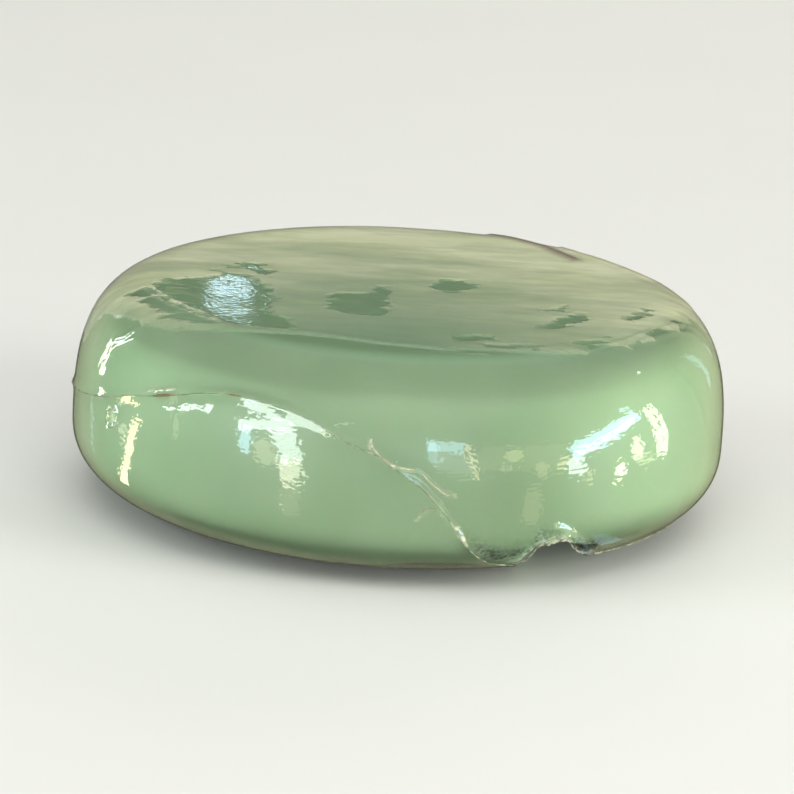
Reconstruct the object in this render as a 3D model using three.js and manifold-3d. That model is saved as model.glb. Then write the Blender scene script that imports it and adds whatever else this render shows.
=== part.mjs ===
// A round cast shaving-soap puck, sealed in a bag of clear shrink film.
//
// Millimetres, +Z up. The base rests on z = 0, the puck's axis is Z and its front faces -Y.
// Angles round the puck are in degrees from the front, positive towards +X.
//
// The bag has two plies, welded together along a wandering seam that leaves a raised bead.
// A chip is broken out of the lower front edge, and the film and the bead are torn away with it.

import * as THREE from 'three';
import { mergeVertices } from 'three/addons/utils/BufferGeometryUtils.js';
import Module from 'manifold-3d';

const wasm = await Module();
wasm.setup();

// The wrapped puck's outer shape.
const PUCK_RADIUS = 32;
const PUCK_HEIGHT = 21.4;
const BELLY_HEIGHT = 7.8; // the level at which the puck is widest
const TOP_FLAT_RADIUS = 22.5;
const BASE_FLAT_RADIUS = 17;
const SHOULDER_POWER = 2.75; // 2 would be an ellipse, and larger is squarer
const HEEL_POWER = 2.55;
const ROUND_STEPS = 80;
const PROFILE_STEPS = 11; // on the heel, and again on the shoulder

// The film, drawn thicker than it is so that each ply is a solid.
const FILM_THICKNESS = 0.3;
const FILM_CLEARANCE = 0.3;
const SOAP_INSET = FILM_THICKNESS + FILM_CLEARANCE;

// The weld seam: its height at each angle, once round from the chip's right side to its left.
const SEAM = [
  { angle: -326, height: 2.3 },
  { angle: -270, height: 2.1 },
  { angle: -225, height: 2.4 },
  { angle: -180, height: 4.0 },
  { angle: -135, height: 6.8 },
  { angle: -90, height: 10.2 },
  { angle: -62, height: 12.8 },
  { angle: -44, height: 15.6 },
  { angle: -28, height: 17.1 },
  { angle: -14, height: 15.9 },
  { angle: -5, height: 14.5 },
  { angle: 0, height: 12.6 },
  { angle: 4, height: 10.9 },
  { angle: 8, height: 8.8 },
  { angle: 11, height: 6.4 },
  { angle: 14, height: 4.3 },
  { angle: 18, height: 3.0 },
  { angle: 24, height: 2.4 },
  { angle: 34, height: 2.3 },
];
const BEAD_RADIUS = 0.35;
const BEAD_LIFT = 0.05; // the bead's centre line stands this far out of the film's outer face
const BEAD_CLEARANCE = 0.3;
const BEAD_ANGLES = [-319, 21.5]; // the bead stops short of the chip on both sides
const CHANNEL_ANGLES = [-323, 26]; // the parting between the plies runs on into the chip
const BEAD_STEPS = 110;
const BEAD_SIDES = 8;

// The shrink vent, a small hole punched through the lower ply.
const VENT_ANGLE = -57.6;
const VENT_HEIGHT = 11.3;
const VENT_RADIUS = 0.9;

// The chip: a ragged groove that starts in the front wall and runs back and down under the base.
// Each corner is [x, z] on the upright plane y = CHIP_PLANE.
const CHIP_PLANE = -27.5;
const CHIP_SLOPE = 16; // degrees below level
const CHIP_FRONT = -35;
const CHIP_BACK = -9;
const CHIP_CORNERS = [
  [11.6, -4],
  [11.7, 2.6],
  [12.5, 3.4],
  [13.7, 4.7],
  [14.3, 4.65],
  [15.0, 5.05],
  [15.9, 5.2],
  [16.3, 4.95],
  [16.8, 4.4],
  [17.5, 4.05],
  [18.6, 3.4],
  [18.9, -4],
];

const radians = THREE.MathUtils.degToRad;

// A closed mesh as a solid that can be joined and cut.
function toSolid(geometry) {
  const bare = geometry.clone();
  bare.deleteAttribute('normal');
  bare.deleteAttribute('uv');
  const merged = mergeVertices(bare);
  const index = merged.index.array;
  const corners = [];
  for (let first = 0; first < index.length; first += 3) {
    const [a, b, c] = index.slice(first, first + 3);
    const hasArea = a !== b && b !== c && c !== a;
    if (hasArea) corners.push(a, b, c);
  }
  const vertProperties = new Float32Array(merged.attributes.position.array);
  const triVerts = new Uint32Array(corners);
  return new wasm.Manifold(new wasm.Mesh({ numProp: 3, vertProperties, triVerts }));
}

function toGeometry(solid) {
  const mesh = solid.getMesh();
  const geometry = new THREE.BufferGeometry();
  geometry.setAttribute('position', new THREE.BufferAttribute(mesh.vertProperties, 3));
  geometry.setIndex(new THREE.BufferAttribute(mesh.triVerts, 1));
  geometry.computeVertexNormals();
  return geometry;
}

// The wall's radius and level, inset from the outer shape at the given outer height.
function wallPoint(height, inset) {
  const isHeel = height < BELLY_HEIGHT;
  const flatRadius = isHeel ? BASE_FLAT_RADIUS : TOP_FLAT_RADIUS;
  const power = isHeel ? HEEL_POWER : SHOULDER_POWER;
  const flatHeight = isHeel ? 0 : PUCK_HEIGHT;
  const reach = Math.abs(flatHeight - BELLY_HEIGHT);
  const rise = Math.abs(height - BELLY_HEIGHT) / reach;
  const spread = Math.max(0, 1 - rise ** power) ** (1 / power);
  const radius = flatRadius + (PUCK_RADIUS - inset - flatRadius) * spread;
  const level = BELLY_HEIGHT + Math.sign(flatHeight - BELLY_HEIGHT) * (reach - inset) * rise;
  return new THREE.Vector2(radius, level);
}

// The closed half profile from the middle of the base, round the wall, to the middle of the top.
function puckProfile(inset) {
  const points = [new THREE.Vector2(0, inset)];
  for (let step = 0; step <= PROFILE_STEPS; step += 1) {
    const turn = (Math.PI / 2) * (1 - step / PROFILE_STEPS);
    points.push(wallPoint(BELLY_HEIGHT * (1 - Math.sin(turn)), inset));
  }
  for (let step = 1; step <= PROFILE_STEPS; step += 1) {
    const turn = (Math.PI / 2) * (step / PROFILE_STEPS);
    const height = BELLY_HEIGHT + (PUCK_HEIGHT - BELLY_HEIGHT) * Math.sin(turn);
    points.push(wallPoint(height, inset));
  }
  points.push(new THREE.Vector2(0, PUCK_HEIGHT - inset));
  return points;
}

function turned(profile) {
  return new THREE.LatheGeometry(profile, ROUND_STEPS).rotateX(Math.PI / 2);
}

function direction(angle) {
  return new THREE.Vector3(Math.sin(radians(angle)), -Math.cos(radians(angle)), 0);
}

// The seam.
const seamAngles = SEAM.map((point) => point.angle);
const seamHeights = SEAM.map((point) => point.height);
const seamCurve = new THREE.CubicInterpolant(seamAngles, seamHeights, 1);

function seamHeight(angle) {
  const start = seamAngles[0];
  const wrapped = THREE.MathUtils.euclideanModulo(angle - start, 360) + start;
  return seamCurve.evaluate(wrapped)[0];
}

// A round cord laid along the seam between two angles.
function seamCord(radius, [fromAngle, toAngle]) {
  const path = [];
  for (let step = 0; step <= BEAD_STEPS; step += 1) {
    const angle = THREE.MathUtils.lerp(fromAngle, toAngle, step / BEAD_STEPS);
    const wall = wallPoint(seamHeight(angle), -BEAD_LIFT);
    path.push(direction(angle).multiplyScalar(wall.x).setZ(wall.y));
  }
  const section = new THREE.Shape().absarc(0, 0, radius, 0, 2 * Math.PI, false);
  return new THREE.ExtrudeGeometry(section, {
    steps: BEAD_STEPS,
    curveSegments: BEAD_SIDES / 2,
    extrudePath: new THREE.CatmullRomCurve3(path),
  });
}

// Everything below the seam: a drum whose top crosses the wall square on at the seam's height.
function belowSeam() {
  const floor = -10;
  const outside = PUCK_RADIUS + 10;
  const hub = BASE_FLAT_RADIUS + 5;
  const drum = turned([
    new THREE.Vector2(0, floor),
    new THREE.Vector2(outside, floor),
    new THREE.Vector2(outside, 0),
    new THREE.Vector2(PUCK_RADIUS, 0),
    new THREE.Vector2(hub, BELLY_HEIGHT),
    new THREE.Vector2(0, BELLY_HEIGHT),
  ]);
  const position = drum.attributes.position;
  for (let corner = 0; corner < position.count; corner += 1) {
    const isSeam = Math.abs(position.getZ(corner)) < 1;
    if (isSeam) {
      const x = position.getX(corner);
      const y = position.getY(corner);
      const angle = THREE.MathUtils.radToDeg(Math.atan2(x, -y));
      const height = seamHeight(angle);
      const isOutside = Math.hypot(x, y) > PUCK_RADIUS + 1;
      const radius = isOutside ? outside : wallPoint(height, 0).x;
      position.setXYZ(corner, ...direction(angle).multiplyScalar(radius).setZ(height));
    }
  }
  return drum;
}

// The material lost at the chip.
function chipBlock() {
  const outline = new THREE.Shape(CHIP_CORNERS.map(([x, z]) => new THREE.Vector2(x, z)));
  const block = new THREE.ExtrudeGeometry(outline, {
    depth: CHIP_BACK - CHIP_FRONT,
    bevelEnabled: false,
  });
  const fall = Math.tan(radians(CHIP_SLOPE));
  // The outline's x, y and depth become x, z and -y; then each section sinks towards the back.
  block.rotateX(Math.PI / 2).translate(0, CHIP_BACK, 0);
  const position = block.attributes.position;
  for (let corner = 0; corner < position.count; corner += 1) {
    const sink = fall * (position.getY(corner) - CHIP_PLANE);
    position.setZ(corner, position.getZ(corner) - sink);
  }
  return block;
}

function ventPin() {
  const length = 4;
  const pin = new THREE.CylinderGeometry(VENT_RADIUS, VENT_RADIUS, length, 20);
  const centre = direction(VENT_ANGLE).multiplyScalar(PUCK_RADIUS).setZ(VENT_HEIGHT);
  return pin.rotateZ(radians(VENT_ANGLE)).translate(...centre);
}

// The solids.
const chip = toSolid(chipBlock());
const lowerHalf = toSolid(belowSeam());
const parting = toSolid(seamCord(BEAD_RADIUS + BEAD_CLEARANCE, CHANNEL_ANGLES));
const filmOuter = toSolid(turned(puckProfile(0)));
const filmInner = toSolid(turned(puckProfile(FILM_THICKNESS)));
const bag = filmOuter.subtract(filmInner).subtract(parting).subtract(chip);

const soapPuck = toSolid(turned(puckProfile(SOAP_INSET))).subtract(chip);
const filmUpper = bag.subtract(lowerHalf);
const filmLower = bag.intersect(lowerHalf).subtract(toSolid(ventPin()));
const sealBead = toSolid(seamCord(BEAD_RADIUS, BEAD_ANGLES));

// The named pieces.
const puck = new THREE.Group();

function addPiece(name, solid, look) {
  const piece = new THREE.Mesh(toGeometry(solid), new THREE.MeshStandardMaterial(look));
  piece.name = name;
  puck.add(piece);
}

addPiece('soap_puck', soapPuck, { color: 0x93b88f, roughness: 0.35, metalness: 0 });
addPiece('film_upper_ply', filmUpper, { color: 0xb9cdb8, roughness: 0.12, metalness: 0 });
addPiece('film_lower_ply', filmLower, { color: 0xa9c2aa, roughness: 0.12, metalness: 0 });
addPiece('film_seal_bead', sealBead, { color: 0xd5d8c4, roughness: 0.3, metalness: 0 });

export default puck;
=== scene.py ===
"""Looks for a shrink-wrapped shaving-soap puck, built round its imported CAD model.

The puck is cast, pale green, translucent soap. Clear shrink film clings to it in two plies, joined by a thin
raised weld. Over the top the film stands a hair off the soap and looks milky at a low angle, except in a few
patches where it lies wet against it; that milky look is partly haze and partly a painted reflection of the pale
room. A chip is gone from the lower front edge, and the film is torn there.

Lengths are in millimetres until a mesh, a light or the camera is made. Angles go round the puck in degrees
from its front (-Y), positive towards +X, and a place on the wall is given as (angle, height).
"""

import math

import bmesh
import bpy
import numpy as np
from mathutils import Matrix, Vector, noise


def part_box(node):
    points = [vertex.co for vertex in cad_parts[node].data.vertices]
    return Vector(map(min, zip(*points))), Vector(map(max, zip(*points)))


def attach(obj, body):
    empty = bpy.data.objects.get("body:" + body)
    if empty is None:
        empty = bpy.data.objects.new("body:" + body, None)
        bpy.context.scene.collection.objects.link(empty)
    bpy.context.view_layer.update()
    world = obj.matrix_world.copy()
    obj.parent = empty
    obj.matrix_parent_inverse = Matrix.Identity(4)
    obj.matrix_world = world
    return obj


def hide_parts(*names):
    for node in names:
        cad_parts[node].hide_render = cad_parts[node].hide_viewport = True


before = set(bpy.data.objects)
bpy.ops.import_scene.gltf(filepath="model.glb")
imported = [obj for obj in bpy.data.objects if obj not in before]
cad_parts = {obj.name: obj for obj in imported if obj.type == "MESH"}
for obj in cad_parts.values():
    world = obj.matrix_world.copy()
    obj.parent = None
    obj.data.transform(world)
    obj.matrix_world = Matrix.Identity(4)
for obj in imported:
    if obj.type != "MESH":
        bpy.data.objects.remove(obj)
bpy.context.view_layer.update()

MM = 0.001

# The wrapped outline. The radius and the height come from the frame, and the rest repeats part.mjs.
RADIUS = -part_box("film_lower_ply")[0].x / MM
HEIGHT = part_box("film_upper_ply")[1].z / MM
BELLY_HEIGHT = 7.8
TOP_FLAT_RADIUS = 22.5
BASE_FLAT_RADIUS = 17.0
SHOULDER_POWER = 2.75
HEEL_POWER = 2.55

# How far under the wrapped outline each surface lies.
FILM_DEPTH = 0.14
WET_DEPTH = 0.24
SOAP_DEPTH = 0.30

# The weld seam, as (angle, height), once round from the chip's right side to its left.
SEAM = [
    (-326, 2.3), (-270, 2.1), (-225, 2.4), (-180, 4.0), (-135, 6.8), (-90, 10.2), (-62, 12.8), (-50, 14.6),
    (-44, 15.4), (-36, 16.5), (-30, 17.0), (-25, 16.95), (-20, 16.65), (-14, 15.9), (-7.5, 14.3), (-2, 13.2),
    (2, 11.6), (4.3, 10.8), (6.3, 9.7), (8.2, 8.6), (9.6, 7.5), (11.7, 5.8), (13, 4.9), (15, 3.8), (18, 2.9),
    (21, 2.5), (34, 2.3),
]
SEAM_ENDS = (-319.5, 23.0)

# The edge that the tear leaves on the upper ply across the chip.
TORN_EDGE = [
    (21, 2.6), (23.0, 2.9), (24.4, 3.3), (25.0, 4.5), (25.8, 4.95), (27.0, 4.85), (28.2, 5.1), (30.2, 5.2),
    (31.2, 4.95), (32.0, 4.4), (33.2, 3.9), (34.8, 3.4), (37.8, 2.8), (41, 2.3),
]

# The chip, as [x, z] on the upright plane y = CHIP_PLANE. Its roof falls towards the back.
CHIP_PLANE = -27.5
CHIP_FALL = math.tan(math.radians(16))
CHIP_BACK = -9.0
CHIP_ROOF = [(11.2, 1.6), (12.2, 3.2), (13.5, 4.7), (14.4, 4.7), (15.8, 5.25), (17.0, 4.9), (19.5, 4.9), (21.6, 2.2)]
# What is torn out of the lower ply there, in the same way.
TEAR_ROOF = [(11.6, 2.2), (12.5, 3.4), (13.7, 4.7), (15.9, 5.2), (16.8, 4.4), (18.9, 3.0)]

# The shrink vent in the lower ply.
VENT = (-57.6, 11.3)
VENT_RADIUS = 0.85
VENT_HOLE = 0.4  # the hole's share of the lip's radius
VENT_LIP = (0.7, 1.22)  # between these shares of it, the film is drawn out to the lip

# The top begins above this height, and film pressed on the soap is drawn in from PRESSED[0] up to PRESSED[1].
TOP_BEGINS = 17
PRESSED = (16, 20.5)
# The place, as (x, y), and how far from it the haze is thinnest and thickest; this haze carries a painted reflection
# of the pale room too.
LEAST_HAZE_AND_REFLECTION = (-3, -20)
FULL_HAZE_AND_REFLECTION_REACH = 42
# Where the top film stands off the soap: behind this line, as (x, y), and above MILKY_FOOT.
MILKY_FOOT = 15.5
MILKY_FRONT = [
    (-36, -4.0), (-29.0, -6.6), (-27.2, -10.0), (-24.6, -14.2), (-22.0, -17.2), (-18.5, -18.9), (-13.0, -19.6),
    (-9.0, -19.5), (-4.0, -20.7), (3.0, -22.0), (8.0, -22.3), (13.0, -21.4), (17.5, -18.9), (21.6, -14.5),
    (24.5, -9.8), (28.2, -1.9), (36, 1.0),
]
# Patches of the top where the film lies wet against the soap, as (x, y) outlines.
WET_PATCHES = [
    [(-26.4, -6.2), (-25.6, -4.8), (-24.2, -6.0), (-22.9, -9.0), (-20.4, -12.6), (-18.4, -15.2), (-17.2, -16.7),
     (-20.8, -16.0), (-22.6, -14.2), (-24.4, -10.6)],
    [(-24.2, -4.0), (-23.4, -1.5), (-21.0, -0.6), (-19.6, -1.0), (-17.2, 1.4), (-14.4, 0.4), (-13.4, -2.8),
     (-12.6, -7.2), (-13.0, -11.0), (-11.5, -14.0), (-10.0, -17.8), (-15.8, -17.4), (-17.4, -15.6), (-20.3, -11.3),
     (-22.0, -8.9)],
    [(-19.0, 2.6), (-16.4, 5.2), (-14.7, 6.4), (-13.5, 3.2), (-13.2, 0.8), (-14.4, 2.0), (-15.6, 3.8)],
    [(-7.2, -7.0), (-6.6, -3.6), (-3.8, -3.6), (-2.6, -0.2), (-1.2, -1.2), (-1.8, -4.0), (-1.4, -8.0),
     (-1.9, -10.6), (-4.6, -11.0), (-7.0, -9.8)],
    [(2.2, 0.9), (3.6, 3.8), (5.8, 4.2), (6.9, 1.2), (5.4, -0.6), (3.4, -0.6)],
    [(12.4, -12.6), (14.8, -8.6), (17.0, -6.4), (17.3, -8.8), (14.4, -12.8)],
    [(20.8, -8.0), (22.2, -5.6), (23.2, -2.6), (24.2, -3.2), (23.4, -5.6), (22.0, -8.0)],
    [(4.5, -17.6), (8.0, -16.6), (8.6, -17.6), (5.2, -18.6)],
    [(7.6, -19.5), (12.5, -19.0), (12.2, -19.9), (8.4, -20.4)],
    [(15.6, -17.6), (19.2, -14.8), (19.6, -15.5), (16.4, -18.4)],
    [(13.6, -5.9), (15.4, -4.2), (15.6, -5.9)],
]
# Folds in the top film, each as (x, y) points, its height, its half width and how white its crease is.
TOP_FOLDS = [
    ([(-24.7, -4.0), (-23.5, -7.0), (-22.2, -9.5), (-20.6, -11.7), (-18.9, -13.8), (-17.4, -15.5)], 0.10, 0.20, 0.7),
    ([(-25.2, -4.6), (-23.9, -7.8), (-22.7, -10.3), (-20.9, -12.6), (-19.1, -14.8), (-17.3, -16.6)], 0.08, 0.18, 0.7),
    ([(-17.4, -16.0), (-14.0, -18.0), (-10.5, -18.8), (-6.9, -19.4), (-2.0, -21.0), (4.0, -22.0)], 0.07, 0.20, 0.3),
    ([(17.6, -18.8), (21.0, -14.7), (24.4, -9.4), (27.0, -4.8), (28.7, -3.4), (29.8, -3.9)], 0.12, 0.25, 0),
    ([(18.6, -18.9), (22.6, -13.7), (25.4, -9.3), (28.2, -5.4), (29.9, -4.6)], 0.12, 0.25, 0),
    ([(8.6, 25.0), (10.6, 23.2), (13.8, 19.6), (17.0, 14.6)], 0.24, 0.40, 0),
    ([(15.8, 20.0), (20.2, 15.0), (25.4, 8.6), (28.2, 3.0)], 0.20, 0.35, 0),
]
# The last two of them are drawn dark brown along their length: the fold's points, the brown's depth of colour and its
# half width.
BROWN_FOLD_LINES = [(TOP_FOLDS[-2][0], 0.95, 0.70), (TOP_FOLDS[-1][0], 0.45, 0.45)]
# Folds in the upper film on the wall and shoulder, each as (angle, height) points, its height and its half width.
WALL_FOLDS = [
    ([(-64.5, 18.0), (-62.0, 18.5), (-61.4, 19.3), (-59.9, 19.5), (-58.4, 19.0), (-60.3, 18.2), (-63.2, 17.4)],
     0.045, 0.30),
    ([(48.2, 17.6), (52.0, 15.8), (53.6, 13.4), (53.0, 11.4)], 0.03, 0.45),
    ([(60.0, 18.6), (64.0, 16.0), (66.5, 13.0)], 0.03, 0.5),
    ([(28.4, 6.5), (31.0, 6.0), (33.6, 4.9), (36.8, 3.7), (38.5, 3.2)], 0.22, 0.32),
    ([(30.4, 5.6), (32.2, 4.9), (34.4, 4.0), (36.5, 3.4)], 0.16, 0.22),
]
# Whitened creases beside the seam, each as (angle, height) points with its half width.
STRESS_LINES = [
    ([(-4.4, 14.9), (-4.1, 14.2), (-2.2, 13.2), (-0.3, 12.6)], 0.16),
    ([(-0.3, 12.7), (1.7, 12.4), (3.8, 12.3), (4.8, 11.8), (6.5, 11.0), (8.0, 10.2), (10.2, 10.0)], 0.13),
    ([(3.9, 7.8), (5.2, 8.7), (7.0, 8.8), (8.0, 8.1)], 0.13),
    ([(10.7, 6.9), (11.7, 5.9), (12.2, 5.6)], 0.28),
    ([(-48.0, 15.3), (-45.0, 15.9), (-41.5, 16.3)], 0.12),
]
# Brown, heat-scorched stretches of the weld, as (angle, half length in degrees, half width).
SCORCHES = [(-44.0, 2.2, 0.13), (-29.2, 1.3, 0.08)]
# Sharply crinkled places in the film, as (angle, height, reach, depth).
CRINKLES = [
    (-66, 16.8, 2.5, 0.03), (-43, 15.4, 1.8, 0.07), (-37, 15.6, 1.6, 0.07), (*VENT, 1.1, 0.16), (20, 4.2, 2.2, 0.10),
]
# The square-cornered fold in the lower film beside the slack heel, as (angle, height).
HEEL_FOLD = [(-1.6, 3.6), (-1.9, 1.9), (1.0, 1.7)]


# ---------------------------------------------------------------- the wrapped surface

def outline_table(flat_steps=80, curve_steps=200, even_steps=1600):
    """Radius, level and outward normal at even steps along the outline, from the base's middle to the top's."""
    turn = np.linspace(0, math.pi / 2, curve_steps)

    def quarter(flat, power, rise):
        return flat + (RADIUS - flat) * (1 - np.clip(rise, 0, 1) ** power) ** (1 / power)

    radius = np.concatenate([
        np.linspace(0, BASE_FLAT_RADIUS, flat_steps)[:-1],
        quarter(BASE_FLAT_RADIUS, HEEL_POWER, np.cos(turn)),
        quarter(TOP_FLAT_RADIUS, SHOULDER_POWER, np.sin(turn[1:])),
        np.linspace(TOP_FLAT_RADIUS, 0, flat_steps)[1:],
    ])
    level = np.concatenate([
        np.zeros(flat_steps - 1),
        BELLY_HEIGHT * (1 - np.cos(turn)),
        BELLY_HEIGHT + (HEIGHT - BELLY_HEIGHT) * np.sin(turn[1:]),
        np.full(flat_steps - 1, HEIGHT),
    ])
    along = np.concatenate([[0], np.cumsum(np.hypot(np.diff(radius), np.diff(level)))])
    even = np.linspace(0, along[-1], even_steps)
    radius = np.interp(even, along, radius)
    level = np.interp(even, along, level)
    run = np.gradient(radius, even)
    climb = np.gradient(level, even)
    length = np.hypot(run, climb)
    return even, radius, level, climb / length, -run / length


ALONG, OUT_RADIUS, OUT_LEVEL, NORMAL_OUT, NORMAL_UP = outline_table()
TOP_ALONG = ALONG[-1]


def along_at(height):
    """Distance along the outline at a height on the wall."""
    wall = (OUT_LEVEL > 1e-4) & (OUT_LEVEL < HEIGHT - 1e-4)
    return np.interp(height, OUT_LEVEL[wall], ALONG[wall])


def on_surface(angle, along, lift=0.0):
    """Points at an angle and a distance along the outline, lifted outwards."""
    turn = np.radians(angle)
    radius = np.interp(along, ALONG, OUT_RADIUS) + lift * np.interp(along, ALONG, NORMAL_OUT)
    level = np.interp(along, ALONG, OUT_LEVEL) + lift * np.interp(along, ALONG, NORMAL_UP)
    return np.stack([radius * np.sin(turn), -radius * np.cos(turn), level], -1)


def normal_at(angle, along):
    turn = math.radians(angle)
    out = float(np.interp(along, ALONG, NORMAL_OUT))
    up = float(np.interp(along, ALONG, NORMAL_UP))
    return Vector((out * math.sin(turn), -out * math.cos(turn), up)).normalized()


def through(points, at):
    """A smooth curve through (x, y) points, read at the given x."""
    x, y = np.array(points, float).T
    slope = np.gradient(y, x)
    left = np.clip(np.searchsorted(x, at) - 1, 0, len(x) - 2)
    width = x[left + 1] - x[left]
    t = (at - x[left]) / width
    return ((2 * t**3 - 3 * t**2 + 1) * y[left] + (t**3 - 2 * t**2 + t) * width * slope[left]
            + (3 * t**2 - 2 * t**3) * y[left + 1] + (t**3 - t**2) * width * slope[left + 1])


def seam_height(angle):
    wrapped = (np.asarray(angle, float) - SEAM[0][0]) % 360 + SEAM[0][0]
    return through(SEAM, wrapped)


def torn_height(angle):
    """Height of the upper ply's lower edge: the seam, or the tear across the chip."""
    wrapped = (np.asarray(angle, float) + 180) % 360 - 180
    edge = np.interp(wrapped, *np.array(TORN_EDGE).T)
    torn = (wrapped > TORN_EDGE[0][0]) & (wrapped < TORN_EDGE[-1][0])
    return np.where(torn, edge, seam_height(angle))


def roof_height(corners, x, y):
    """Height of the chip's roof, or far below the puck beside and behind the chip."""
    across, up = np.array(corners).T
    roof = np.interp(x, across, up, left=-9, right=-9) - CHIP_FALL * (y - CHIP_PLANE)
    return np.where(y < CHIP_BACK, roof, -9)


def line_distance(x, y, points):
    """Distance from each place to a run of straight stretches."""
    nearest = np.full(np.shape(x), 1e9)
    for (ax, ay), (bx, by) in zip(points, points[1:]):
        dx, dy = bx - ax, by - ay
        t = np.clip(((x - ax) * dx + (y - ay) * dy) / (dx * dx + dy * dy), 0, 1)
        nearest = np.minimum(nearest, np.hypot(x - ax - t * dx, y - ay - t * dy))
    return nearest


def patch_distance(x, y, outline):
    """Distance to an outline, positive inside it."""
    inside = np.zeros(np.shape(x), bool)
    closed = outline + outline[:1]
    for (ax, ay), (bx, by) in zip(closed, closed[1:]):
        if ay != by:
            crosses = (ay > y) != (by > y)
            inside ^= crosses & (x < ax + (y - ay) * (bx - ax) / (by - ay))
    distance = line_distance(x, y, closed)
    return np.where(inside, distance, -distance)


def bell(distance, half):
    """1 on a line, fading smoothly away from it over a half width."""
    return np.exp(-((distance / half) ** 2))


def plateau(distance, half):
    """Like bell, with a flatter middle and steeper sides."""
    return np.exp(-((distance / half) ** 4))


def wall_line_distance(angle, height, points):
    """Distance along the wall to a run of (angle, height) points."""
    scale = math.radians(RADIUS)
    wrapped = (angle + 180) % 360 - 180
    return line_distance(wrapped * scale, height, [(a * scale, h) for a, h in points])


def stress_whitening(angle, height):
    """How white the film is beside each of the stress lines."""
    white = np.zeros(height.shape)
    for line, half in STRESS_LINES:
        white = np.maximum(white, bell(wall_line_distance(angle, height, line), half * 1.1))
    return white


def rough(points, size, seed, octaves=3):
    """Fractal noise of about -1 to 1 at each point, with features of the given size. Each use has its own seed."""
    shift = Vector((seed * 17.3, seed * 5.1, seed * 9.7))
    return np.array([
        noise.fractal(Vector(p) / size + shift, 0.7, 2.1, octaves) for p in points.reshape(-1, 3).tolist()
    ]).reshape(points.shape[:-1])


# ---------------------------------------------------------------- meshes

def ring_angles(count):
    """Angles once round from the back, closer together on the front and closest at the chip."""
    even = np.linspace(-180, 180, 2000)
    density = 1 + 0.9 * np.cos(np.radians(even / 2)) ** 2 + 2.2 * bell(even - 30, 11)
    share = np.concatenate([[0], np.cumsum((density[1:] + density[:-1]) / 2)])
    return np.interp(np.linspace(0, share[-1], count + 1)[:-1], share, even)


def ring_faces(rows, columns, keep=None):
    """Quads of a grid that closes round its columns."""
    row, column = np.meshgrid(np.arange(rows - 1), np.arange(columns), indexing="ij")
    beside = (column + 1) % columns
    quads = np.stack([row * columns + column, row * columns + beside,
                      (row + 1) * columns + beside, (row + 1) * columns + column], -1).reshape(-1, 4)
    return quads if keep is None else quads[keep[quads].all(1)]


def linked(name, data):
    made = bpy.data.objects.new(name, data)
    bpy.context.scene.collection.objects.link(made)
    return made


def make_piece(name, points, faces, fields):
    """A smooth-shaded mesh object from points in millimetres, with named values on its points."""
    mesh = bpy.data.meshes.new(name)
    mesh.from_pydata((np.asarray(points).reshape(-1, 3) * MM).tolist(), [], [list(map(int, f)) for f in faces])
    for field, values in fields.items():
        layer = mesh.attributes.new(field, "FLOAT", "POINT")
        layer.data.foreach_set("value", np.asarray(values, np.float32).ravel())
    mesh.polygons.foreach_set("use_smooth", np.ones(len(mesh.polygons), bool))
    mesh.update()
    piece = linked(name, mesh)
    used = np.zeros(len(mesh.vertices), bool)
    used[np.unique(np.concatenate([np.ravel(f) for f in faces]))] = True
    if not used.all():
        drop_points(mesh, ~used)
    return piece


def drop_points(mesh, unused):
    """Takes away the points that no face uses."""
    form = bmesh.new()
    form.from_mesh(mesh)
    form.verts.ensure_lookup_table()
    bmesh.ops.delete(form, geom=[form.verts[i] for i in np.nonzero(unused)[0]], context="VERTS")
    form.to_mesh(mesh)
    form.free()


def closed_grid(points):
    """Faces of a ring grid whose first and last rows are each shut by a fan."""
    rows, columns = points.shape[:2]
    quads = ring_faces(rows, columns).tolist()
    ends = np.stack([points[0].mean(0), points[-1].mean(0)])
    first, last = rows * columns, rows * columns + 1
    top = (rows - 1) * columns
    fans = [[first, (c + 1) % columns, c] for c in range(columns)]
    fans += [[last, top + c, top + (c + 1) % columns] for c in range(columns)]
    return np.concatenate([points.reshape(-1, 3), ends]), quads + fans


def soap():
    """The casting: the outline a little inside the film, faintly wavy, with the broken chip."""
    columns, rows = 420, 210
    angle = ring_angles(columns)[None, :]
    along = (TOP_ALONG * np.linspace(0.004, 0.996, rows))[:, None]
    angle, along = np.broadcast_arrays(angle, along)
    flat = on_surface(angle, along)
    waves = 0.03 * rough(flat, 9.0, 1)
    points = on_surface(angle, along, waves - SOAP_DEPTH)
    height = flat[..., 2]

    # The heel is slack under the front, so that the film spans free of it there.
    slack = bell(angle - 9, 8) * np.clip((2.6 - height) / 1.2, 0, 1)
    lower = height < BELLY_HEIGHT
    points[..., 2] += np.where(lower, 0.7 * slack, 0)

    # The chip: everything under its roof is gone, and the broken face is rough.
    roof = roof_height(CHIP_ROOF, points[..., 0], points[..., 1])
    broken = lower & (roof > points[..., 2])
    grain = 0.22 * rough(points, 1.1, 2, 4)
    points[..., 2] = np.where(broken, np.maximum(roof + grain, points[..., 2]), points[..., 2])

    # Crumbs along the edge of the break.
    near = plateau(angle - 20.5, 7) * bell(height - torn_height(angle) - 0.6, 0.9)
    near = np.maximum(near, np.clip(1 - np.abs(points[..., 2] - roof) / 0.8, 0, 1) * lower)
    pits = rough(points, 0.45, 3, 3)
    outward = points.copy()
    outward[..., 2] = 0
    outward /= np.linalg.norm(outward, axis=-1, keepdims=True) + 1e-9
    points = points + outward * (0.16 * near * (pits - 0.6))[..., None]

    verts, faces = closed_grid(points)
    crumble = np.concatenate([np.maximum(near, broken).ravel(), [0, 0]])
    return make_piece("soap_body", verts, faces, {"crumble": crumble})


def wall_wrinkles(flat):
    """Slack in the film, in millimetres: broad hollows and soft ripples."""
    lift = 0.035 * rough(flat, 10.0, 4, 2)
    lift += 0.007 * rough(flat * np.array([1, 1, 1.9]), 2.4, 5, 2)
    return lift


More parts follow.
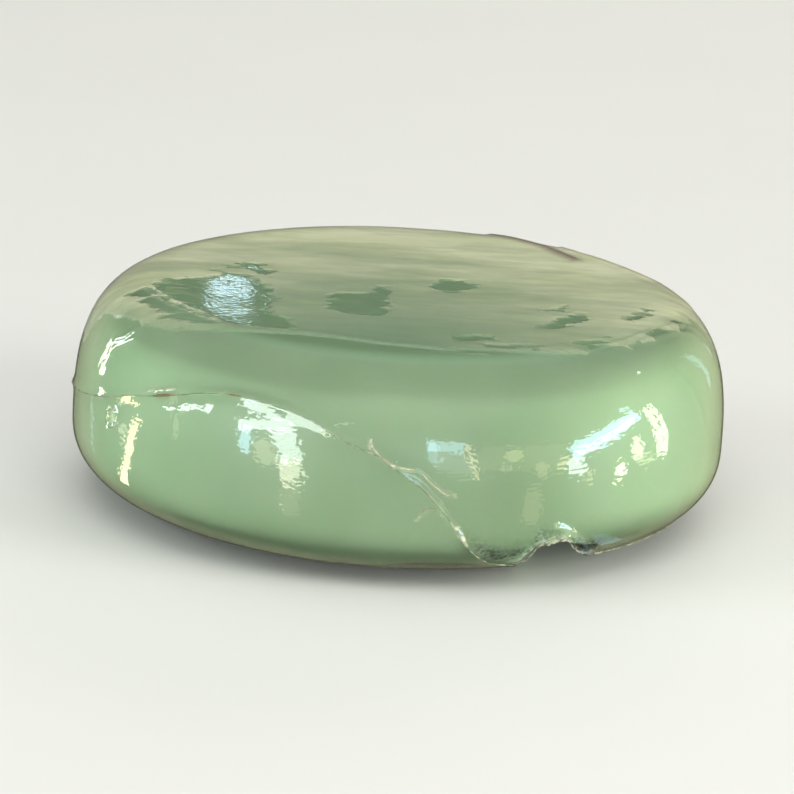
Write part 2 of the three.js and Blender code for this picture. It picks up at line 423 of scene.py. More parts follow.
def crinkled(flat):
    """The sharp local crinkles, in millimetres."""
    lift = np.zeros(flat.shape[:-1])
    for angle, height, reach, depth in CRINKLES:
        centre = on_surface(angle, along_at(height))
        near = np.exp(-(((flat - centre) ** 2).sum(-1)) / reach**2)
        close = near > 0.02
        if close.any():
            lift[close] += depth * near[close] * rough(flat[close], 0.9, 6, 3)
    return lift


def upper_ply():
    """The upper ply, from the seam and the tear up over the shoulder to the middle of the top."""
    columns, rows = 560, 168
    ring = ring_angles(columns)
    edge = along_at(torn_height(ring))
    share = np.linspace(0, 1, rows)[:, None] ** 1.12
    along = edge + (TOP_ALONG * 0.997 - edge) * share
    angle = np.broadcast_to(ring, along.shape)
    flat = on_surface(angle, along)
    x, y, height = flat[..., 0], flat[..., 1], flat[..., 2]

    behind = np.interp(x, *np.array(MILKY_FRONT).T)
    lifted = np.minimum(y - behind, (height - MILKY_FOOT) * 0.8)
    wet = np.full(x.shape, -9.0)
    for outline in WET_PATCHES:
        wet = np.maximum(wet, patch_distance(x, y, outline))
    wet += 0.8 * rough(flat * np.array([0.5, 1.7, 1]), 1.8, 12, 3) * (wet > -3)
    on_top = height > TOP_BEGINS
    streaky = rough(flat * np.array([0.22, 1.5, 1]), 2.6, 11, 3) * np.clip((x + 6) / 14, 0.1, 1)
    lifted = lifted + 3.0 * streaky * bell(y - behind, 6)
    milky = np.minimum(lifted, -wet)

    pressed = np.clip(0.5 - milky / 0.5, 0, 1) * np.clip((height - PRESSED[0]) / (PRESSED[1] - PRESSED[0]), 0, 1)
    lift = -FILM_DEPTH + wall_wrinkles(flat) * (1 - 0.85 * pressed) + crinkled(flat)
    lift -= (WET_DEPTH - FILM_DEPTH) * pressed
    for points, tall, half in WALL_FOLDS:
        lift += tall * bell(wall_line_distance(angle, height, points), half)
    for points, tall, half, _ in TOP_FOLDS:
        lift += tall * bell(line_distance(x, y, points), half) * on_top
    to_seam = along - edge
    lift += FILM_DEPTH * bell(to_seam, 0.5)
    for points, half in STRESS_LINES:
        lift += 0.10 * bell(wall_line_distance(angle, height, points), half)

    # At the tear the free edge rolls outwards.
    torn = np.clip(1 - np.abs(angle - 30.5) / 9.5, 0, 1) ** 0.5
    lift += torn * 0.32 * bell(to_seam, 0.55)
    lift = np.minimum(lift, 0.25)
    surface = on_surface(angle, along, lift)

    stress = np.maximum(stress_whitening(angle, height), 0.8 * torn * bell(to_seam, 0.35))
    for points, _, _, white in TOP_FOLDS:
        stress = np.maximum(stress, white * bell(line_distance(x, y, points), 0.18) * on_top)
    brown = np.zeros(x.shape)
    for points, depth, half in BROWN_FOLD_LINES:
        brown = np.maximum(brown, depth * bell(line_distance(x, y, points), half) * on_top)
    # Painted reflection: the haze thickens from the front towards the back, standing partly for the pale room
    # mirrored at a low angle.
    away = np.hypot((x - LEAST_HAZE_AND_REFLECTION[0]) * 1.2, y - LEAST_HAZE_AND_REFLECTION[1])
    strength = np.clip(0.10 + 0.90 * (away / FULL_HAZE_AND_REFLECTION_REACH) ** 1.5, 0, 0.97) * np.clip(0.5 + lifted / 8, 0.5, 1)

    faces = ring_faces(rows, columns).tolist()
    middle = rows * columns
    top = (rows - 1) * columns
    faces += [[middle, top + c, top + (c + 1) % columns] for c in range(columns)]
    verts = np.concatenate([surface.reshape(-1, 3), surface[-1].mean(0)[None]])

    def field(values):
        return np.concatenate([values.ravel(), [float(values[-1].mean())]])

    return make_piece("film_upper", verts, faces, {
        "milky": field(milky), "strength": field(strength), "stress": field(stress), "brown": field(brown)})


def lower_ply():
    """The lower ply, from the middle of the base out round the heel and up to the seam."""
    columns, rows = 560, 100
    ring = ring_angles(columns)
    edge = along_at(seam_height(ring))
    share = np.linspace(0.005, 1, rows)[:, None] ** 0.75
    along = edge * share
    angle = np.broadcast_to(ring, along.shape)
    flat = on_surface(angle, along)
    height = flat[..., 2]
    lift = -FILM_DEPTH + wall_wrinkles(flat) + crinkled(flat)
    lift += FILM_DEPTH * bell(edge - along, 0.5)
    for points, half in STRESS_LINES:
        lift += 0.08 * bell(wall_line_distance(angle, height, points), half)
    lift += 0.12 * bell(wall_line_distance(angle, height, HEEL_FOLD), 0.22)
    lift = np.minimum(lift, 0.1)
    lift = np.maximum(lift, -height)
    points = on_surface(angle, along, lift)

    # The vent: a pinhole in a puckered disc, inside a lip that is drawn to a true circle.
    centre = on_surface(VENT[0], along_at(VENT[1]))
    normal = np.array(normal_at(VENT[0], along_at(VENT[1])))
    offset = points - centre
    offset = offset - (offset @ normal)[..., None] * normal
    reach = np.linalg.norm(offset, axis=-1)
    near = (reach > VENT_RADIUS * VENT_LIP[0]) & (reach < VENT_RADIUS * VENT_LIP[1])
    pull = np.where(near, VENT_RADIUS / np.maximum(reach, 1e-6) - 1, 0)
    facing_out = (points @ normal) > 0
    points = points + np.where(facing_out, pull, 0)[..., None] * offset
    open_vent = (reach < VENT_RADIUS * VENT_HOLE) & facing_out

    tear = roof_height(TEAR_ROOF, points[..., 0], points[..., 1]) > points[..., 2]
    keep = ~(tear | open_vent).ravel()
    stress = np.maximum(stress_whitening(angle, height), 0.7 * bell(reach - VENT_RADIUS, 0.14) * facing_out)

    faces = ring_faces(rows, columns, keep).tolist()
    middle = rows * columns
    faces += [[middle, (c + 1) % columns, c] for c in range(columns)]
    verts = np.concatenate([points.reshape(-1, 3), points[0].mean(0)[None]])

    def field(values):
        return np.concatenate([np.ravel(values), [0]])

    return make_piece("film_lower", verts, faces, {
        "milky": field(np.full(height.shape, -2.0)), "strength": field(np.zeros(height.shape)),
        "stress": field(stress), "brown": field(np.zeros(height.shape))})


def cord_mesh(path, half_width, half_height, sides):
    """A closed cord of oval section along (angle, height, lift) places, with an even size at each."""
    angle, height, lift = np.array(path, float).T
    along = along_at(height)
    spine = on_surface(angle, along, lift)
    ahead = np.gradient(spine, axis=0)
    ahead /= np.linalg.norm(ahead, axis=1, keepdims=True)
    up = np.array([normal_at(a, s) for a, s in zip(angle, along)])
    side = np.cross(ahead, up)
    side /= np.linalg.norm(side, axis=1, keepdims=True)
    turn = np.linspace(0, 2 * math.pi, sides, endpoint=False)[None, :, None]
    ring = (spine[:, None] + side[:, None] * np.cos(turn) * np.asarray(half_width)[:, None, None]
            + up[:, None] * np.sin(turn) * np.asarray(half_height)[:, None, None])
    return closed_grid(ring)


def seal_bead():
    """The weld: a thin, uneven ridge of fused film, with short broken whiskers and scorched stretches."""
    sides, steps = 8, 2400
    angle = np.linspace(*SEAM_ENDS, steps)
    height = seam_height(angle)
    places = on_surface(angle, along_at(height))
    height = height + 0.05 * rough(places, 1.6, 7, 2)
    uneven = rough(places, 0.8, 8, 3)
    half_width = 0.052 + 0.03 * uneven
    half_height = 0.07 + 0.04 * uneven
    scorch = np.zeros(steps)
    for centre, half_length, half in SCORCHES:
        near = plateau(angle - centre, half_length)
        half_width = half_width + (half - 0.06) * near
        scorch = np.maximum(scorch, near)
    swell = bell(angle - 12.4, 0.8) + 0.6 * bell(angle + 1.2, 1.4)
    half_width = half_width + 0.12 * swell
    end = np.clip(np.minimum(angle - SEAM_ENDS[0], SEAM_ENDS[1] - angle) / 0.6, 0.08, 1)
    lift = np.full(steps, 0.02)
    parts = [cord_mesh(np.stack([angle, height, lift], 1), half_width * end, half_height * end, sides)]
    scorches = [np.concatenate([np.repeat(scorch, sides), [0, 0]])]
    for whisker in [line for line, _ in STRESS_LINES] + [TORN_EDGE, vent_lip()]:
        count = 24 * len(whisker)
        at = np.linspace(0, len(whisker) - 1, count)
        index = np.arange(len(whisker))
        spots = np.stack([np.interp(at, index, np.array(whisker, float)[:, k]) for k in (0, 1)], 1)
        taper = np.clip(np.minimum(at, len(whisker) - 1 - at) * 2, 0.15, 1)
        bumps = rough(on_surface(spots[:, 0], along_at(spots[:, 1])), 0.5, 9, 2)
        half = (0.045 + 0.025 * bumps) * taper
        path = np.column_stack([spots, np.full(count, 0.04)])
        parts.append(cord_mesh(path, half, half * 1.1, sides))
        scorches.append(np.zeros(len(parts[-1][0])))
    everything, all_faces = [], []
    for verts, faces in parts:
        start = sum(len(v) for v in everything)
        everything.append(verts)
        all_faces += [[start + i for i in f] for f in faces]
    return make_piece("seam_weld", np.concatenate(everything), all_faces, {"scorch": np.concatenate(scorches)})


def vent_lip():
    """The vent's melted lip, as (angle, height) places once round."""
    turn = np.linspace(0, 2 * math.pi, 25)
    across = np.degrees(VENT_RADIUS / RADIUS)
    return [(VENT[0] + across * math.cos(t), VENT[1] + VENT_RADIUS * math.sin(t)) for t in turn]


# ---------------------------------------------------------------- materials

class Nodes:
    """A short way to write a material's node tree."""

    def __init__(self, name):
        self.material = bpy.data.materials.new(name)
        self.material.use_nodes = True
        self.tree = self.material.node_tree
        self.tree.nodes.clear()

    def add(self, kind, **inputs):
        node = self.tree.nodes.new("ShaderNode" + kind)
        self.set(node, **inputs)
        return node

    def set(self, node, **inputs):
        """Links or sets inputs by name, or by number as i0, i1 and so on."""
        for name, value in inputs.items():
            numbered = name[0] == "i" and name[1:].isdigit()
            socket = node.inputs[int(name[1:]) if numbered else name.replace("_", " ")]
            if isinstance(value, bpy.types.NodeSocket):
                self.tree.links.new(value, socket)
            else:
                socket.default_value = value

    def maths(self, operation, *values):
        node = self.add("Math")
        node.operation = operation
        for index, value in enumerate(values):
            self.set(node, **{f"i{index}": value})
        return node.outputs[0]

    def ramp(self, value, low, high, to_low=0.0, to_high=1.0):
        """A smooth step from one value to another, between a low and a high input."""
        node = self.add("MapRange")
        node.interpolation_type = "SMOOTHSTEP"
        for index, item in enumerate((value, low, high, to_low, to_high)):
            self.set(node, **{f"i{index}": item})
        return node.outputs[0]

    def mix(self, amount, first, second):
        node = self.add("Mix")
        node.data_type = "RGBA"
        for index, item in ((0, amount), (6, first), (7, second)):
            self.set(node, **{f"i{index}": item})
        return node.outputs[2]

    def noise(self, size, detail, squash=(1, 1, 1)):
        """Noise with features of a size in millimetres, stretched where squash is below 1."""
        place = self.add("TexCoord").outputs["Object"]
        scaled = self.add("VectorMath")
        scaled.operation = "MULTIPLY"
        self.set(scaled, i0=place, i1=tuple(s / (size * MM) for s in squash))
        texture = self.add("TexNoise", Vector=scaled.outputs[0], Scale=1.0, Detail=detail, Roughness=0.55)
        return texture.outputs["Fac"]

    def field(self, name):
        """One of the mesh's own named values."""
        node = self.add("Attribute")
        node.attribute_name = name
        return node.outputs["Fac"]

    def bump(self, height, distance, below=None):
        """Relief of a depth in millimetres, over what lies below it."""
        node = self.add("Bump", Height=height, Distance=distance * MM, Strength=1.0)
        if below is not None:
            self.set(node, Normal=below)
        return node.outputs[0]

    def facing_up(self):
        """How far up the surface faces: 0 on an upright wall, 1 on the level top."""
        return self.add("SeparateXYZ", Vector=self.add("NewGeometry").outputs["Normal"]).outputs["Z"]

    def finish(self, shader):
        output = self.add("OutputMaterial", Surface=shader)
        output.is_active_output = True
        return self.material


def soap_material():
    """Translucent cast soap: green with soft clouds of tone, painted lighter and greener on the top as if lit from
    above, and speckled where it is broken and crumbly.
    """
    n = Nodes("cast soap")
    cloud = n.noise(9.0, 2.0)
    green = n.mix(n.ramp(cloud, 0.35, 0.65), (0.345, 0.490, 0.298, 1), (0.375, 0.515, 0.322, 1))
    # Painted light: the top is drawn a lighter, greener green, standing in for light from above.
    green = n.mix(n.ramp(n.facing_up(), 0.94, 0.995), green, (0.365, 0.560, 0.345, 1))
    crumble = n.field("crumble")
    speck = n.ramp(n.noise(0.35, 3.0), 0.42, 0.60)
    crumbs = n.mix(speck, (0.10, 0.16, 0.12, 1), (0.52, 0.62, 0.46, 1))
    colour = n.mix(n.maths("MULTIPLY", crumble, 0.75), green, crumbs)
    relief = n.bump(n.noise(0.7, 4.0), 0.02)
    body = n.add("BsdfPrincipled", Base_Color=colour, Normal=relief, Roughness=0.42, IOR=1.47,
                 Subsurface_Weight=0.35, Subsurface_Scale=3 * MM, Subsurface_Radius=(0.55, 1.0, 0.5))
    body.subsurface_method = "RANDOM_WALK"
    return n.finish(body.outputs[0])


def film_material(name):
    """Clear glossy film. It is milky where it stands off the soap, and white where it is creased. The milky haze is
    partly a painted reflection of the pale room, and the wall seen edge-on is painted pale as a reflection.
    """
    n = Nodes(name)
    up = n.facing_up()

    # Where it stands off the soap, with a ragged border, and the scraps of haze inside the wet patches.
    coarse = n.maths("MULTIPLY", n.maths("SUBTRACT", n.noise(1.5, 3.0, squash=(0.4, 1.5, 1)), 0.5), 2.3)
    fine = n.maths("MULTIPLY", n.maths("SUBTRACT", n.noise(0.5, 4.0, squash=(0.5, 1.4, 1)), 0.5), 2.4)
    ragged = n.maths("ADD", n.field("milky"), n.maths("ADD", coarse, fine))
    stands_off = n.ramp(ragged, -0.28, 0.22)
    scraps = n.ramp(n.noise(0.9, 4.0, squash=(0.45, 1.3, 1)), 0.46, 0.62, 0.0, 0.50)
    scraps = n.maths("MULTIPLY", scraps, n.ramp(up, 0.97, 0.998))
    veil = n.maths("MAXIMUM", stands_off, scraps)

    # How much the haze hides: it is streaky, and closes up towards a grazing view. It is partly the film's haze and
    # partly a painted reflection of the pale room, thicker towards the back and at a grazing view.
    streaks = n.ramp(n.noise(5.0, 5.0, squash=(0.35, 1.2, 1)), 0.3, 0.7, 0.70, 1.14)
    mottle = n.ramp(n.noise(1.7, 4.0, squash=(0.4, 1.3, 1)), 0.3, 0.7, 0.82, 1.12)
    streaks = n.maths("MULTIPLY", streaks, mottle)
    edge_on = n.add("LayerWeight", Blend=0.5).outputs["Facing"]
    haze_and_reflection_by_angle = n.ramp(edge_on, 0.1, 0.72, 0.35, 1.0)
    haze_and_reflection = n.maths("MULTIPLY", n.maths("MULTIPLY", veil, n.field("strength")),
                     n.maths("MULTIPLY", streaks, haze_and_reflection_by_angle))
    steep = n.ramp(up, 0.75, 0.99, 1.0, 0.16)  # the top is drawn flatter than the wall
    # Painted reflection: the steep wall is painted pale where it is seen edge-on.
    painted_edge_reflection = n.maths("MULTIPLY", steep, n.ramp(edge_on, 0.50, 0.95, 0.015, 0.50))
    flecks = n.ramp(n.noise(0.45, 4.0), 0.40, 0.62)
    white = n.maths("MULTIPLY", n.field("stress"), n.maths("MULTIPLY_ADD", flecks, 0.6, 0.10))
    hidden = n.maths("MAXIMUM", n.maths("MAXIMUM", haze_and_reflection, painted_edge_reflection), n.field("brown"))
    haze = n.maths("MINIMUM", n.maths("ADD", hidden, white), 0.95)

    # Orange peel, with ripples running round the wall.
    relief = n.maths("MAXIMUM", steep, n.ramp(stands_off, 0.0, 0.5, 0.42, 0.0))
    cells = n.maths("MULTIPLY", n.noise(0.36, 0.0, squash=(0.8, 0.8, 1.3)), relief)
    waves = n.maths("MULTIPLY", n.noise(0.95, 0.0, squash=(0.45, 0.45, 2.6)), relief)
    ripples = n.bump(waves, 0.0080, below=n.bump(cells, 0.0075))

    # The haze's beige is partly its own tone and partly a painted reflection of the pale room.
    haze_and_reflection_beige = n.mix(n.ramp(n.noise(5.0, 4.0, squash=(0.5, 1, 1)), 0.35, 0.65),
                  (0.52, 0.545, 0.325, 1), (0.60, 0.61, 0.40, 1))
    colour = n.mix(white, haze_and_reflection_beige, (0.74, 0.74, 0.64, 1))
    colour = n.mix(n.field("brown"), colour, (0.13, 0.075, 0.055, 1))
    body = n.add("BsdfPrincipled", Base_Color=colour, Roughness=0.5, Specular_IOR_Level=0.1, Normal=ripples)
    clear = n.add("BsdfTransparent")
    veiled = n.add("MixShader", i0=haze, i1=clear.outputs[0], i2=body.outputs[0])
    gloss = n.ramp(stands_off, 0.0, 1.0, 0.045, 0.32)
    mirror = n.add("BsdfGlossy", Roughness=gloss, Normal=ripples)
    share = n.add("Fresnel", IOR=1.62, Normal=ripples)
    glossy = n.add("MixShader", i0=share.outputs[0], i1=veiled.outputs[0], i2=mirror.outputs[0])
    return n.finish(glossy.outputs[0])


def weld_material():
    """Fused film: milky yellow-white, clearer in places, brown where the sealing wire scorched it. Its dark green
    patches are painted shade, standing for the dark line beside the ridge.
    """
    n = Nodes("weld")
    patchy = n.ramp(n.noise(0.8, 4.0), 0.35, 0.65)
    # Painted shade: the dark green end of this mix stands for the shadow line beside the weld ridge.
    milky = n.mix(patchy, (0.09, 0.13, 0.07, 1), (0.36, 0.38, 0.25, 1))
    colour = n.mix(n.field("scorch"), milky, (0.16, 0.085, 0.035, 1))
    relief = n.bump(n.noise(0.25, 3.0), 0.03)
    body = n.add("BsdfPrincipled", Base_Color=colour, Roughness=0.24, Normal=relief, IOR=1.5)
    clear = n.add("BsdfTransparent")
    solid = n.maths("MAXIMUM", n.field("scorch"), n.ramp(patchy, 0.0, 1.0, 0.35, 0.8))
    mixed = n.add("MixShader", i0=solid, i1=clear.outputs[0], i2=body.outputs[0])
    return n.finish(mixed.outputs[0])


def floor_material():
    """Pale, faintly uneven paper."""
    n = Nodes("pale floor")
    tone = n.mix(n.noise(60.0, 4.0), (0.60, 0.595, 0.575, 1), (0.63, 0.625, 0.605, 1))
    body = n.add("BsdfPrincipled", Base_Color=tone, Roughness=0.75)
    return n.finish(body.outputs[0])


def backdrop_material():
    """The same paper, evenly lit."""
    n = Nodes("pale backdrop")
    return n.finish(n.add("Emission", Color=(0.72, 0.715, 0.69, 1), Strength=1.0).outputs[0])


# ---------------------------------------------------------------- camera

CAMERA_ELEVATION = 16.0
CAMERA_ROLL = 3.18
CAMERA_DISTANCE = 12.0 * RADIUS
SENSOR = 36.0
LENS = 177.4
FRAMING = (-0.22, -0.61)  # the view's centre, right and up of the puck's own


def camera():
    """A long lens at the front, looking a little down, rolled a little."""
    tilt = math.radians(CAMERA_ELEVATION)
    back = Vector((0, -math.cos(tilt), math.sin(tilt)))
    up = Vector((0, math.sin(tilt), math.cos(tilt)))
    level = Matrix((Vector((1, 0, 0)), up, back)).transposed()
    turned = level @ Matrix.Rotation(math.radians(CAMERA_ROLL), 3, "Z")
    data = bpy.data.cameras.new("camera")
    data.lens, data.sensor_width = LENS, SENSOR
    data.clip_start, data.clip_end = 0.01, 20
    eye = linked("camera", data)
    target = Vector((0, 0, HEIGHT / 2)) + turned @ Vector((*FRAMING, 0))
    eye.matrix_world = Matrix.Translation((target + back * CAMERA_DISTANCE) * MM) @ turned.to_4x4()
    bpy.context.scene.camera = eye
    return eye


# ---------------------------------------------------------------- lights

SKY = (0.62, 0.84, 1.0)
COOL = (0.50, 0.78, 1.0)
WHITE = (0.90, 0.98, 1.0)
CREAM = (1.0, 0.96, 0.76)
YELLOW = (1.0, 0.98, 0.56)
AMBER = (1.0, 0.80, 0.52)
GLINT_DISTANCE = 0.9  # how far from the film the mirrored windows hang, in metres
# Each glint: name, start and end on the wall as (angle, height), width there, radiance, colour and shape.
GLINTS = [
    ("hook_stem", (-64.6, 18.4), (-65.4, 15.0), 0.9, 15, CREAM, "RECTANGLE"),
    ("hook_arm", (-64.5, 18.0), (-58.5, 18.9), 0.7, 14, WHITE, "RECTANGLE"),
    ("vent", (-58.6, 12.0), (-56.4, 11.0), 1.2, 10, WHITE, "RECTANGLE"),
    ("left_sheen", (-67.0, 12.2), (-63.8, 6.4), 0.5, 0.9, COOL, "ELLIPSE"),
    ("left_low", (-53.6, 9.6), (-51.0, 4.4), 1.5, 12, AMBER, "RECTANGLE"),
    ("left_low_faint", (-53.4, 11.6), (-53.6, 9.6), 1.2, 2.5, CREAM, "ELLIPSE"),
    ("left_glow", (-40.6, 14.6), (-39.5, 11.9), 1.0, 1.6, YELLOW, "ELLIPSE"),
    ("sparkle", (-44.5, 15.0), (-34.0, 15.7), 0.7, 14, WHITE, "RECTANGLE"),
    ("blaze_top", (-27.8, 14.7), (-18.0, 15.3), 1.1, 11, WHITE, "RECTANGLE"),
    ("blaze_left", (-26.3, 15.0), (-25.7, 12.2), 1.7, 8, COOL, "ELLIPSE"),
    ("blaze_right", (-19.4, 15.0), (-17.0, 12.3), 2.2, 10, WHITE, "RECTANGLE"),
    ("blaze_foot", (-18.2, 12.4), (-16.6, 10.2), 2.2, 9, CREAM, "RECTANGLE"),
    ("blaze_middle", (-22.8, 13.8), (-21.2, 11.4), 2.2, 2.6, YELLOW, "ELLIPSE"),
    ("blaze_haze", (-17.4, 9.6), (-17.2, 6.6), 1.8, 0.9, AMBER, "ELLIPSE"),
    ("thread", (-26.7, 15.8), (-22.0, 15.9), 0.22, 12, WHITE, "RECTANGLE"),
    ("thread_long", (-21.4, 15.6), (-11.6, 15.9), 0.34, 11, WHITE, "RECTANGLE"),
    ("thread_tail", (-12.0, 15.95), (-7.6, 16.3), 0.16, 4, WHITE, "RECTANGLE"),
    ("pane_bar", (5.0, 14.9), (11.6, 14.5), 1.0, 7, COOL, "RECTANGLE"),
    ("pane_left", (6.0, 15.2), (6.6, 13.2), 1.2, 4.5, COOL, "RECTANGLE"),
    ("pane", (7.0, 13.4), (13.2, 12.7), 1.9, 1.6, WHITE, "RECTANGLE"),
    ("pane_edge", (11.9, 14.9), (14.0, 11.9), 0.55, 7, AMBER, "RECTANGLE"),
    ("row", (13.5, 13.6), (29.5, 13.2), 2.3, 0.8, YELLOW, "RECTANGLE"),
    ("row_first", (18.6, 13.7), (21.6, 13.8), 1.2, 2.4, YELLOW, "ELLIPSE"),
    ("row_second", (18.4, 13.0), (18.8, 12.2), 1.0, 2.0, CREAM, "ELLIPSE"),
    ("row_third", (24.4, 12.9), (25.6, 11.4), 1.4, 1.8, AMBER, "ELLIPSE"),
    ("beam", (30.0, 13.4), (46.4, 16.2), 1.5, 12, COOL, "RECTANGLE"),
    ("beam_core", (31.0, 13.3), (46.0, 15.9), 0.5, 8, WHITE, "RECTANGLE"),
    ("beam_root", (29.6, 12.5), (33.2, 12.1), 1.4, 9, WHITE, "ELLIPSE"),
    ("beam_root_amber", (28.4, 12.9), (29.4, 12.4), 1.2, 6, AMBER, "ELLIPSE"),
    ("beam_root_low", (33.0, 11.4), (35.0, 11.0), 1.2, 3.4, AMBER, "ELLIPSE"),
    ("beam_hook", (41.4, 16.75), (45.4, 16.9), 0.25, 9, COOL, "RECTANGLE"),
    ("arc", (47.4, 16.7), (50.4, 14.2), 0.7, 10, CREAM, "RECTANGLE"),
    ("arc_foot", (50.6, 14.4), (50.4, 11.8), 1.1, 10, CREAM, "RECTANGLE"),
    ("leaf", (44.6, 13.9), (45.4, 12.0), 1.9, 7, CREAM, "ELLIPSE"),
    ("leaf_low", (39.2, 11.1), (42.4, 11.1), 1.5, 11, CREAM, "ELLIPSE"),
    ("leaf_link", (44.6, 11.6), (49.0, 11.9), 1.0, 3, YELLOW, "ELLIPSE"),
    ("dot", (49.0, 19.3), (49.7, 19.3), 0.25, 12, CREAM, "ELLIPSE"),
    ("edge_glow", (66.0, 19.8), (76.0, 16.5), 0.9, 1.2, COOL, "ELLIPSE"),
    ("torn_window", (33.0, 5.4), (42.0, 3.3), 1.8, 1.0, COOL, "RECTANGLE"),
    ("right_haze", (23.4, 10.0), (23.4, 7.0), 2.0, 1.3, AMBER, "ELLIPSE"),
]
# The window behind the puck: where the top mirrors it, its width and height in metres, and its radiance.
BACK_WINDOW = ((-16.8, -4.2), 0.0145, 0.0055, 7.0)
# Each softbox: name, place and (width, height) in metres, watts and colour.
SOFTBOXES = [
    ("key", (0.05, -0.90, 0.17), (1.0, 0.4), 2.35, (0.96, 1.0, 0.97)),
    ("key_high", (0.02, -0.54, 0.78), (0.9, 0.5), 4.0, (0.96, 1.0, 0.97)),
    ("right", (0.85, -0.35, 0.30), (0.5, 0.5), 8.0, (1.0, 0.99, 0.92)),
    ("left", (-0.86, -0.25, 0.38), (0.5, 0.5), 4.1, (0.93, 1.0, 1.0)),
    ("overhead", (0.0, 0.15, 0.90), (0.9, 0.9), 1.1, (1.0, 0.99, 0.96)),
    ("back", (0.25, 0.85, 0.35), (0.7, 0.4), 3.0, (1.0, 0.97, 0.90)),
    ("low_front", (0.0, -0.50, 0.035), (0.7, 0.05), 1.0, (0.96, 1.0, 0.97)),
    ("low_left", (-0.42, -0.28, 0.035), (0.4, 0.05), 1.0, (0.96, 1.0, 1.0)),
    ("low_right", (0.42, -0.28, 0.035), (0.4, 0.05), 0.6, (1.0, 1.0, 0.94)),
]


def area_light(name, size, power, colour, shape="RECTANGLE"):
    """A lamp that the camera doesn't see. Its size is in metres."""
    data = bpy.data.lights.new(name, "AREA")
    data.shape = shape
    data.size, data.size_y = size
    data.energy = power
    data.color = colour
    lamp = linked(name, data)
    lamp.visible_camera = False
    return lamp


def aim(lamp, place, target):
    lamp.location = place
    lamp.rotation_mode = "QUATERNION"
    lamp.rotation_quaternion = (Vector(target) - Vector(place)).to_track_quat("-Z", "Y")


def mirrored(eye, angle, height):
    """A place on the wall, and the direction that it mirrors to the camera."""
    along = float(along_at(height))
    place = Vector(on_surface(angle, along)) * MM
    normal = normal_at(angle, along)
    ray = (place - eye.location).normalized()
    return place, (ray - 2 * ray.dot(normal) * normal).normalized()


def glint(eye, name, start, end, width, radiance, colour, shape="RECTANGLE"):
    """A window that the wall mirrors as a band from start to end, each an (angle, height), of a width there."""
    angle, height = (start[0] + end[0]) / 2, (start[1] + end[1]) / 2
    spot, centre = mirrored(eye, angle, height)
    run = Vector((math.radians(end[0] - start[0]) * RADIUS, end[1] - start[1]))
    side = Vector((-run.y, run.x)).normalized() * width / 2
    turn, rise = math.degrees(side.x / RADIUS), side.y
    low, high = (mirrored(eye, angle + s * turn, height + s * rise)[1] for s in (-1, 1))
    first, last = (mirrored(eye, *place)[1] for place in (start, end))
    long_way = last - first
    long_way -= long_way.dot(centre) * centre
    x_axis = long_way.normalized()
    y_axis = centre.cross(x_axis)
    size = long_way.length * GLINT_DISTANCE, abs((high - low).dot(y_axis)) * GLINT_DISTANCE
    lamp = area_light(name, size, radiance * math.pi * size[0] * size[1], colour, shape)
    turned = Matrix((x_axis, y_axis, centre)).transposed().to_4x4()
    lamp.matrix_world = Matrix.Translation(spot + centre * GLINT_DISTANCE) @ turned
    lamp.visible_diffuse = False


def back_window(eye):
    """The window that the wet patch on the top mirrors."""
    (x, y), width, tall, radiance = BACK_WINDOW
    spot = Vector((x, y, HEIGHT)) * MM
    ray = (spot - eye.location).normalized()
    ray.z = -ray.z
    lamp = area_light("back_window", (width, tall), radiance * math.pi * width * tall, SKY)
    aim(lamp, spot + ray * GLINT_DISTANCE, spot)
    lamp.visible_diffuse = False


def lights(eye):
    """The windows that only gloss shows, and the softboxes that only light the puck."""
    for name, *rest in GLINTS:
        glint(eye, "glint_" + name, *rest)
    back_window(eye)
    for name, place, size, watts, colour in SOFTBOXES:
        lamp = area_light(name, size, watts, colour)
        aim(lamp, place, Vector((0, 0, HEIGHT / 2)) * MM)
        lamp.visible_glossy = False


# ---------------------------------------------------------------- the room

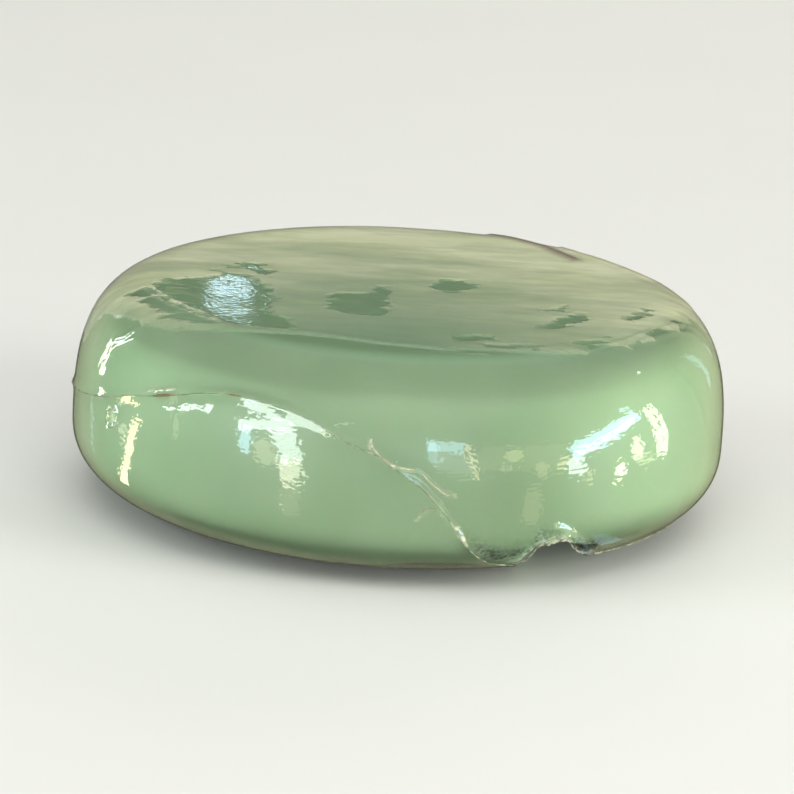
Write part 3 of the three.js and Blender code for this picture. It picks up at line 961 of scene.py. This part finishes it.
def pale_room():
    """Soft light from above that fades to nearly dark at the horizon, so that the film mirrors little of it."""
    world = bpy.data.worlds.new("pale room")
    world.use_nodes = True
    tree = world.node_tree
    place = tree.nodes.new("ShaderNodeTexCoord")
    split = tree.nodes.new("ShaderNodeSeparateXYZ")
    fade = tree.nodes.new("ShaderNodeMapRange")
    tree.links.new(place.outputs["Generated"], split.inputs[0])
    tree.links.new(split.outputs["Z"], fade.inputs["Value"])
    for name, value in (("From Min", 0.35), ("From Max", 0.65), ("To Min", 0.04), ("To Max", 0.60)):
        fade.inputs[name].default_value = value
    background = tree.nodes["Background"]
    background.inputs["Color"].default_value = (0.95, 0.96, 0.92, 1)
    tree.links.new(fade.outputs["Result"], background.inputs["Strength"])
    bpy.context.scene.world = world


def staged(name, verts, faces, material):
    """Something round the puck that the film doesn't mirror and that casts no shadow. It is in metres."""
    mesh = bpy.data.meshes.new(name)
    mesh.from_pydata(verts, [], faces)
    mesh.materials.append(material)
    piece = linked(name, mesh)
    piece.visible_glossy = piece.visible_shadow = False
    return piece


def floor(span=2.5):
    corners = [(-span, -span, 0), (span, -span, 0), (span, span, 0), (-span, span, 0)]
    staged("floor", corners, [(0, 1, 2, 3)], floor_material())


def backdrop(sides=96, reach=0.8, tall=1.2):
    """A pale paper wall round the floor, which only the camera sees."""
    turns = [2 * math.pi * side / sides for side in range(sides)]
    verts = [(reach * math.cos(turn), reach * math.sin(turn), z) for z in (0, tall) for turn in turns]
    faces = [(i, (i + 1) % sides, sides + (i + 1) % sides, sides + i) for i in range(sides)]
    wall = staged("backdrop", verts, faces, backdrop_material())
    wall.visible_diffuse = wall.visible_transmission = False


# ---------------------------------------------------------------- the scene

# Each piece: what builds it, its material, the CAD node that it replaces, and its material slot.
PIECES = [
    (soap, soap_material, "soap_puck", "soap"),
    (upper_ply, lambda: film_material("clear film, upper"), "film_upper_ply", "film_upper"),
    (lower_ply, lambda: film_material("clear film, lower"), "film_lower_ply", "film_lower"),
    (seal_bead, weld_material, "film_seal_bead", "seal"),
]

for build, make_material, node, slot in PIECES:
    made = build()
    made.data.materials.append(make_material())
    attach(made, "root")
    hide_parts(node)

floor()
backdrop()
lights(camera())
pale_room()
bpy.context.scene.view_settings.view_transform = "Standard"
bpy.context.scene.view_settings.look = "None"
